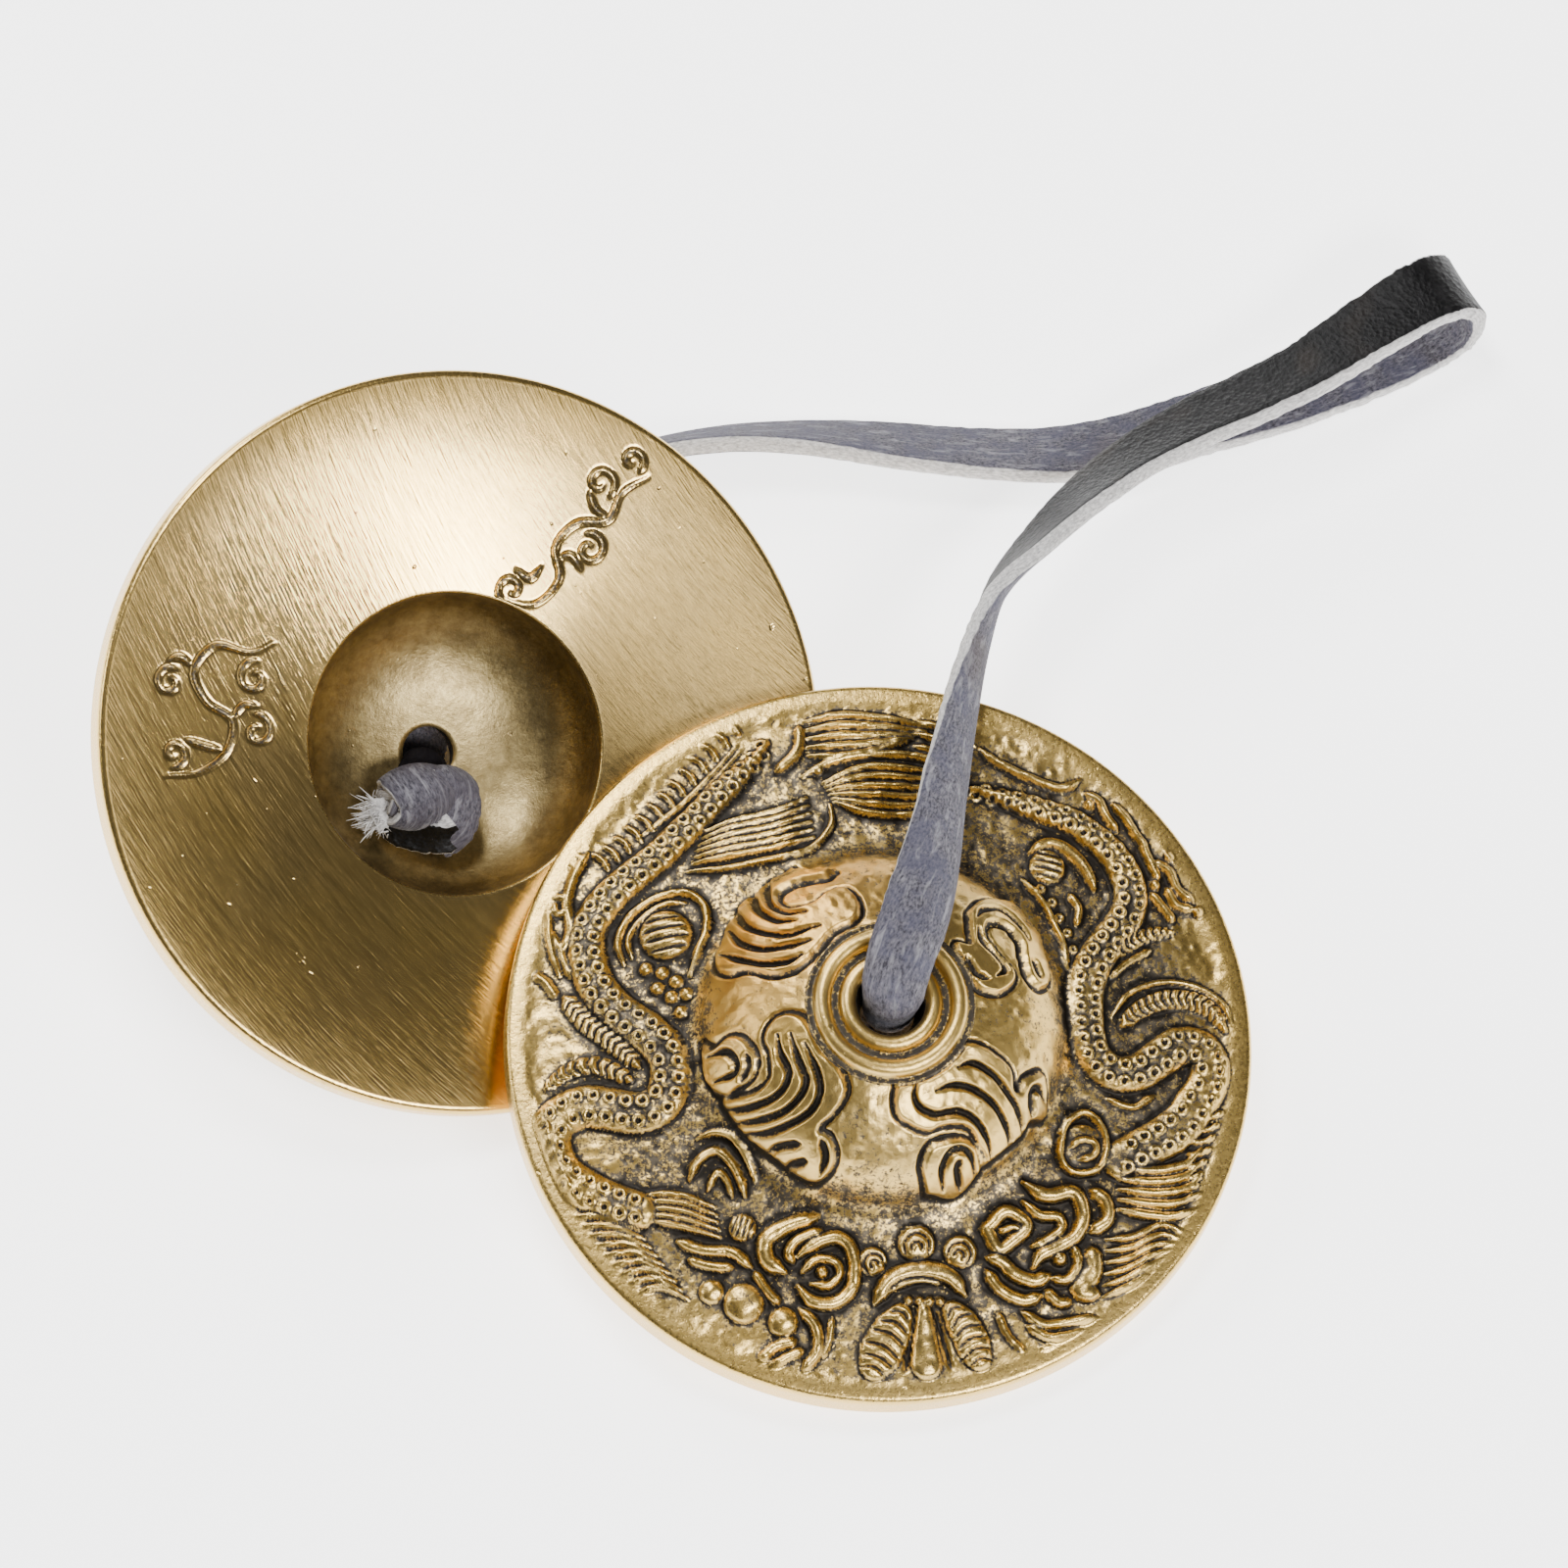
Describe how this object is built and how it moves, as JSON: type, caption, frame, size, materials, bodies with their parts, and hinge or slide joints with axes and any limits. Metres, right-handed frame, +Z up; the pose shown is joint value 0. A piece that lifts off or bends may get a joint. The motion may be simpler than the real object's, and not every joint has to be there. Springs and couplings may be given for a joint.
{
  "type": "finger cymbals",
  "caption": "Pair of cast brass finger cymbals with raised domes, wide flat rims and deep bells, joined by a flat leather thong knotted inside each bell.",
  "frame": {"origin": "on the ground, under the middle of the box around the two cymbals", "axes": "+Z up; +X towards the right of the pair as it is seen from the front, from the left cymbal towards the right one; +Y away from the front, towards the thong's fold"},
  "size_m": [0.1223, 0.1105, 0.032],
  "materials": {
    "left_brass": "smooth cast and machined, satin",
    "right_brass": "cast relief, polished on top and dark in its recesses",
    "suede_thong": "suede side up",
    "fold_leather": "black pebbled grain outside",
    "grain_thong": "black pebbled grain and grey suede",
    "left_knot_leather": "suede",
    "right_knot_leather": "suede"
  },
  "bodies": {
    "left_side": {"strap_left_run": "suede_thong", "left_knot": "left_knot_leather"},
    "left_cymbal": {"left_cymbal": "left_brass"},
    "right_side": {"strap_loop": "fold_leather", "strap_right_run": "grain_thong", "right_knot": "right_knot_leather"},
    "right_cymbal": {"right_cymbal": "right_brass"}
  },
  "joints": [
    {"name": "left_cymbal_turn", "type": "hinge", "parent": "left_side", "child": "left_cymbal", "pos_m": [-0.0183, 0.0128, 0.01759], "axis": [0.2713, -0.3613, 0.8921], "continuous": true},
    {"name": "strap_bend", "type": "hinge", "parent": "left_side", "child": "right_side", "pos_m": [0.0662, 0.0613, 0.0052], "axis": [-0.5019, 0.8649, 0], "range_deg": [0, 60], "deforming": ["strap_loop"]},
    {"name": "right_cymbal_turn", "type": "hinge", "parent": "right_side", "child": "right_cymbal", "pos_m": [0.0177, -0.0117, 0.00592], "axis": [0.0772, -0.1679, 0.9828], "continuous": true}
  ]
}
